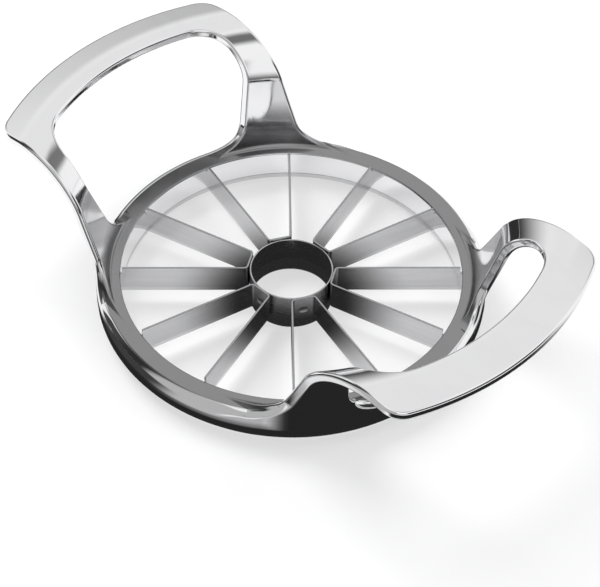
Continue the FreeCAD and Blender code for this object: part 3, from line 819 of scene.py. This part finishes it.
def card(name, points, cover, tone):
    """A card that mirrors see and the camera doesn't; it casts no shadow and lights nothing dull.

    At each point, cover says how solid it is and tone how bright, from 0 to 1.
    """
    mesh = bpy.data.meshes.new(name)
    rows, columns = points.shape[:2]
    mesh.from_pydata(points.reshape(-1, 3).tolist(), [], grid_faces(rows, columns).tolist())
    for title, values in (("cover", cover), ("tone", tone)):
        mesh.attributes.new(title, "FLOAT", "POINT").data.foreach_set(
            "value", np.array(np.broadcast_to(values, points.shape[:2])).ravel())
    item = bpy.data.objects.new(name, mesh)
    scene.collection.objects.link(item)
    material = bpy.data.materials.new(name)
    material.use_nodes = True
    nodes = Nodes(material.node_tree)
    solid = nodes.add("ShaderNodeAttribute", attribute_name="cover").outputs["Fac"]
    shade = nodes.add("ShaderNodeAttribute", attribute_name="tone").outputs["Fac"]
    clear = nodes.add("ShaderNodeBsdfTransparent").outputs[0]
    paint = nodes.add("ShaderNodeEmission", {"Strength": shade}).outputs[0]
    mix = nodes.add("ShaderNodeMixShader", {"Fac": solid})
    nodes.put(mix.inputs[1], clear)
    nodes.put(mix.inputs[2], paint)
    nodes.put(material.node_tree.nodes["Material Output"].inputs["Surface"], mix.outputs[0])
    mesh.materials.append(material)
    item.visible_camera = False
    item.visible_diffuse = False
    item.visible_shadow = False


def patch(around, rise, azimuths, elevations, soft_sides, soft_ends):
    """A soft patch of sky, 0 to 1: full inside, fading to nothing at its limits, in degrees."""
    middle = sum(azimuths) / 2
    half = (azimuths[1] - azimuths[0]) / 2
    off = np.abs((around - middle + 180) % 360 - 180)
    low, high = soft_ends
    return (smooth((half - off) / soft_sides) * smooth((rise - elevations[0]) / low)
            * smooth((elevations[1] - rise) / high))


SKY_RADIUS = 8.0
# azimuths, elevations, softness of the sides and of the low and high ends, all in degrees; strength
SKY_PATCHES = (
    ((86, 176), (34, 84), 14, (10, 14), 0.13),
    ((106, 190), (-90, 46), 14, (1, 50), 0.97),
    ((76, 108), (22, 47), 9, (9, 8), 0.80),
    ((-26, 52), (-90, 46), 11, (1, 12), 0.96),
    ((-72, -10), (-90, 20), 12, (1, 17), 0.97),
    ((-150, -46), (-90, 74), 12, (1, 14), 0.50),
    ((-164, -118), (-90, 56), 10, (1, 12), 0.94),
    ((150, 240), (42, 74), 11, (9, 12), 0.85),
)


def mirror_sky():
    """The sky that mirrors see: a dome, white but for soft dark patches.

    Its light is the product of 1 - strength times patch over all patches.
    """
    around = np.linspace(-180, 180, 241)[:, None]
    rise = np.linspace(-14, 90, 105)[None, :]
    turn, tilt = np.radians(around), np.radians(rise)
    points = SKY_RADIUS * np.stack(np.broadcast_arrays(
        np.cos(turn) * np.cos(tilt), np.sin(turn) * np.cos(tilt), np.sin(tilt)), -1)
    light = np.ones(points.shape[:2])
    for azimuths, elevations, sides, ends, strength in SKY_PATCHES:
        light *= 1 - strength * patch(around, rise, azimuths, elevations, sides, ends)
    # a round patch nearly overhead
    aim = np.radians([22, 78])
    near = (np.cos(tilt) * np.cos(aim[1]) * np.cos(turn - aim[0]) + np.sin(tilt) * np.sin(aim[1]))
    light *= 1 - 0.82 * smooth((16 - np.degrees(np.arccos(np.clip(near, -1, 1)))) / 12)
    card("mirror_sky", points, np.ones(light.shape), light)


def floor_shade_card():
    """A dark area just over the floor, from under the ring's wall outwards: painted shade, seen by
    mirrors only, in place of the floor's shadow round the ring.

    It closes round the ring's foot, runs far out in front, is wide at the right, and has an
    outer band beyond the right grip.
    """
    around = np.linspace(-180, 180, 241)[:, None]
    radius = np.geomspace(56, 4000, 250)[None, :]
    away = (1 - 64 / np.maximum(radius, 64)) ** 2
    level = 0.97 - 0.45 * smooth((around + 98 + 30 * away) / 14)
    level = level * smooth((around + 132 + 34 * away) / 8) * smooth((-48 - around) / 8)
    near = level + (1 - level) * smooth((67 - radius) / 5)
    near *= 1 - 0.7 * (smooth((radius - 68) / 3) * smooth((86 - radius) / 6)
                       * smooth((around + 72) / 4) * smooth((-55 - around) / 3))
    wide = smooth((50 - np.abs(around + 9)) / 12) * smooth((98 - radius) / 22)
    near = np.maximum(near, wide)
    band = smooth((radius - 106) / 8) * smooth((186 - radius) / 25) * smooth(
        (62 - np.abs(around + 18)) / 30)
    flat_card("floor_shade_card", around, radius, np.maximum(near, band), 0.3, 0.02)


def flat_card(name, around, radius, cover, height, tone):
    """A level card given by angle and distance round the axis, in degrees and mm."""
    turn = np.radians(around)
    points = np.stack(np.broadcast_arrays(
        radius * np.cos(turn), radius * np.sin(turn), height + 0 * radius * turn), -1)
    card(name, points * MM, cover, tone)


def hub_and_far_cards():
    """Dark areas just over the floor: painted shade under the corer, in place of the floor's shadow
    there, and a dark area from the left handle outwards.
    """
    around = np.linspace(-180, 180, 90)[:, None]
    radius = np.linspace(0.5, 40, 40)[None, :]
    # Painted shade under the corer, seen by mirrors only
    flat_card("hub_shade_card", around, radius, smooth((38 - radius) / 22) + 0 * around, 0.3, 0.03)
    around = np.linspace(128, 188, 40)[:, None]
    radius = np.geomspace(80, 4000, 60)[None, :]
    cover = smooth((around - 128) / 14) * smooth((188 - around) / 14) * smooth((radius - 80) / 12)
    flat_card("far_card", around, radius, cover, 0.4, 0.03)


def studio_lamp(name, place, aim, size, power):
    lamp = bpy.data.lights.new(name, "AREA")
    lamp.shape = "SQUARE"
    lamp.size = size
    lamp.energy = power
    item = bpy.data.objects.new(name, lamp)
    item.location = place
    item.rotation_euler = (Vector(aim) - Vector(place)).to_track_quat("-Z", "Y").to_euler()
    item.visible_glossy = False
    scene.collection.objects.link(item)


FOCAL_PIXELS = 2403.6
PICTURE_WIDTH = 600.0


def studio_camera():
    """Looks down on the slicer from its front right, at 46 degrees."""
    yaw, pitch, roll = np.radians([43.12, 46.38, 1.30])
    forward = np.array([-np.sin(yaw) * np.cos(pitch), np.cos(yaw) * np.cos(pitch), -np.sin(pitch)])
    right = np.array([np.cos(yaw), np.sin(yaw), 0])
    up = np.cross(right, forward)
    side = right * np.cos(roll) + up * np.sin(roll)
    top = up * np.cos(roll) - right * np.sin(roll)
    turn = Matrix(np.stack([side, top, -forward], 1).tolist())
    camera = bpy.data.cameras.new("camera")
    camera.sensor_fit = "HORIZONTAL"
    camera.sensor_width = 36.0
    camera.lens = FOCAL_PIXELS * camera.sensor_width / PICTURE_WIDTH
    item = bpy.data.objects.new("camera", camera)
    item.matrix_world = Matrix.Translation(Vector((0.3443, -0.3637, 0.5275))) @ turn.to_4x4()
    scene.collection.objects.link(item)
    scene.camera = item


studio_floor()
studio_sky()
floor_shade_card()
hub_and_far_cards()
mirror_sky()
studio_lamp("key", (-0.80, 0.02, 1.0), (0, 0, 0), 0.7, 12.0)
studio_lamp("fill", (0.5, 0.8, 0.9), (0, 0, 0), 0.7, 3.0)
studio_camera()
